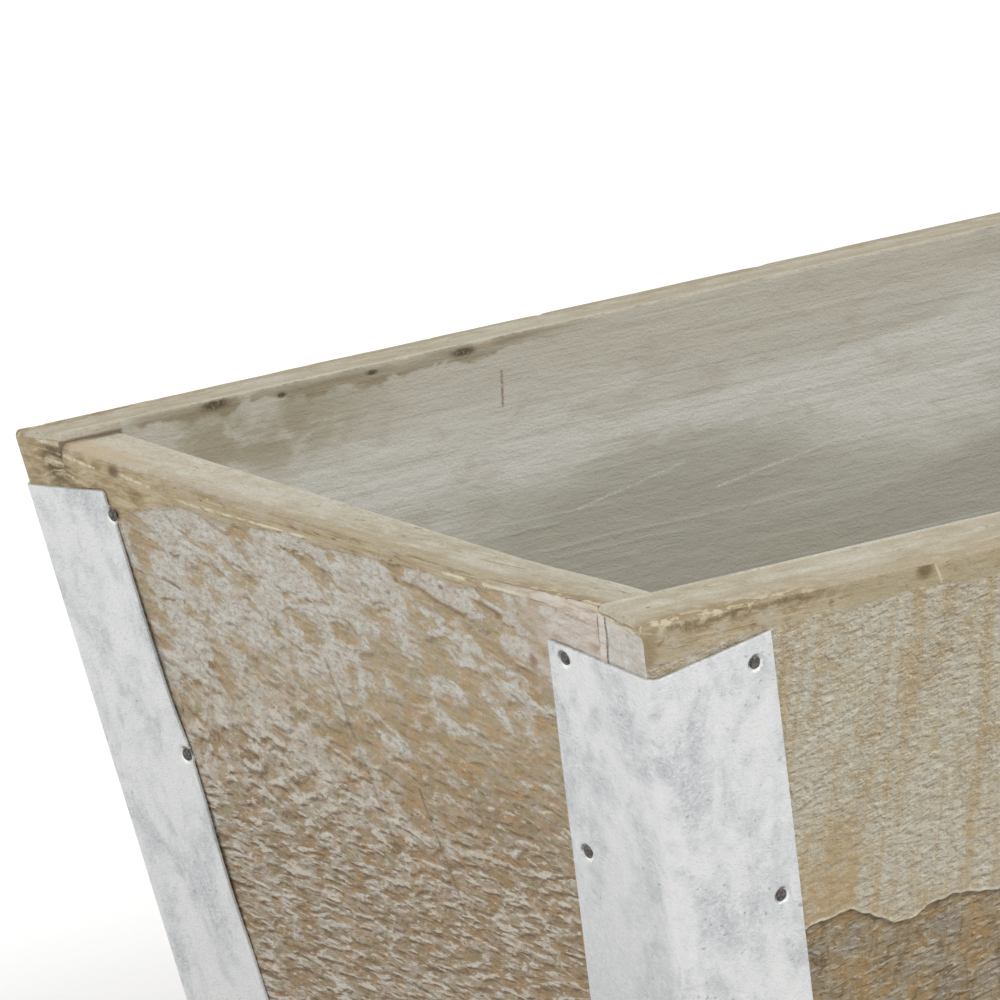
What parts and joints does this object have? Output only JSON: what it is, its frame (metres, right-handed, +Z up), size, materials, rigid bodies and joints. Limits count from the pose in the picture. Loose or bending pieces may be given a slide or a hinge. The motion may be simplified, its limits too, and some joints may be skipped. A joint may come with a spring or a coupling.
{
  "type": "indoor herb planter",
  "caption": "Tapered rectangular whitewashed wooden planter box, open at the top, with nailed galvanised sheet-metal corner straps.",
  "frame": {"origin": "centre of the underside, on the surface that the planter stands on", "axes": "+Z up; X along the length of the box; Y across it, with the long side nearest in the picture at -Y and the end seen in the picture at -X"},
  "size_m": [0.4048, 0.1518, 0.1286],
  "materials": {
    "whitewashed_wood": "rough sawn, whitewashed and rubbed back",
    "base_wood": "planed, greyed",
    "galvanised_sheet": "galvanised, mottled, matt",
    "nail_steel": "darkened steel",
    "brad_steel": "plain steel wire"
  },
  "bodies": {
    "root": {"front_board": "whitewashed_wood", "back_board": "whitewashed_wood", "left_end_board": "whitewashed_wood", "right_end_board": "whitewashed_wood", "bottom_board": "base_wood", "strap_front_left": "galvanised_sheet", "strap_front_right": "galvanised_sheet", "strap_back_left": "galvanised_sheet", "strap_back_right": "galvanised_sheet", "strap_nails_front_left": "nail_steel", "strap_nails_front_right": "nail_steel", "strap_nails_back_left": "nail_steel", "strap_nails_back_right": "nail_steel", "corner_brads_front_left": "brad_steel", "corner_brads_front_right": "brad_steel", "corner_brads_back_left": "brad_steel", "corner_brads_back_right": "brad_steel", "base_brads_front": "brad_steel", "base_brads_back": "brad_steel", "base_brads_left": "brad_steel", "base_brads_right": "brad_steel"}
  },
  "joints": []
}
